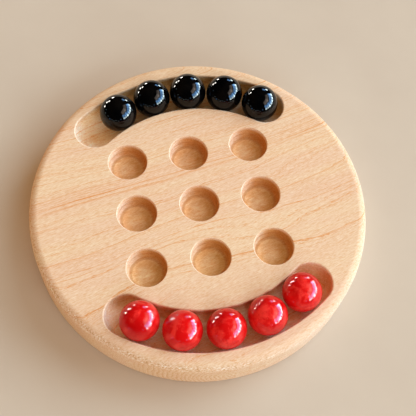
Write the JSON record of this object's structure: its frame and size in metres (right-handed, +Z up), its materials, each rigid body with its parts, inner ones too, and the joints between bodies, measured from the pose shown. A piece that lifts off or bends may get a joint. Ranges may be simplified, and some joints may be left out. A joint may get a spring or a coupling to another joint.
{
  "type": "tic-tac-toe board",
  "caption": "Round wooden tic-tac-toe board with a grid of ball pockets and two curved side troughs that hold loose polished stone balls.",
  "frame": {"origin": "centre of the board's flat underside, which is also the bottom centre of the bounding box", "axes": "+Z up out of the playing face, +X along the rows of pockets, +Y towards the trough of the black balls"},
  "size_m": [0.193, 0.193, 0.0373],
  "materials": {
    "wood": "fine-grained light hardwood, sanded and lightly oiled, satin",
    "black_stone": "polished black stone, mirror gloss",
    "red_stone": "polished mottled red stone, high gloss"
  },
  "bodies": {
    "board": {"board": "wood"},
    "black_ball_1": {"black_ball_1": "black_stone"},
    "black_ball_2": {"black_ball_2": "black_stone"},
    "black_ball_3": {"black_ball_3": "black_stone"},
    "black_ball_4": {"black_ball_4": "black_stone"},
    "black_ball_5": {"black_ball_5": "black_stone"},
    "red_ball_1": {"red_ball_1": "red_stone"},
    "red_ball_2": {"red_ball_2": "red_stone"},
    "red_ball_3": {"red_ball_3": "red_stone"},
    "red_ball_4": {"red_ball_4": "red_stone"},
    "red_ball_5": {"red_ball_5": "red_stone"}
  },
  "joints": [
    {"name": "black_ball_1_lift", "type": "slide", "parent": "board", "child": "black_ball_1", "axis": [0, 0, 1], "range_m": [0, 0.04]},
    {"name": "black_ball_2_lift", "type": "slide", "parent": "board", "child": "black_ball_2", "axis": [0, 0, 1], "range_m": [0, 0.04]},
    {"name": "black_ball_3_lift", "type": "slide", "parent": "board", "child": "black_ball_3", "axis": [0, 0, 1], "range_m": [0, 0.04]},
    {"name": "black_ball_4_lift", "type": "slide", "parent": "board", "child": "black_ball_4", "axis": [0, 0, 1], "range_m": [0, 0.04]},
    {"name": "black_ball_5_lift", "type": "slide", "parent": "board", "child": "black_ball_5", "axis": [0, 0, 1], "range_m": [0, 0.04]},
    {"name": "red_ball_1_lift", "type": "slide", "parent": "board", "child": "red_ball_1", "axis": [0, 0, 1], "range_m": [0, 0.04]},
    {"name": "red_ball_2_lift", "type": "slide", "parent": "board", "child": "red_ball_2", "axis": [0, 0, 1], "range_m": [0, 0.04]},
    {"name": "red_ball_3_lift", "type": "slide", "parent": "board", "child": "red_ball_3", "axis": [0, 0, 1], "range_m": [0, 0.04]},
    {"name": "red_ball_4_lift", "type": "slide", "parent": "board", "child": "red_ball_4", "axis": [0, 0, 1], "range_m": [0, 0.04]},
    {"name": "red_ball_5_lift", "type": "slide", "parent": "board", "child": "red_ball_5", "axis": [0, 0, 1], "range_m": [0, 0.04]}
  ]
}
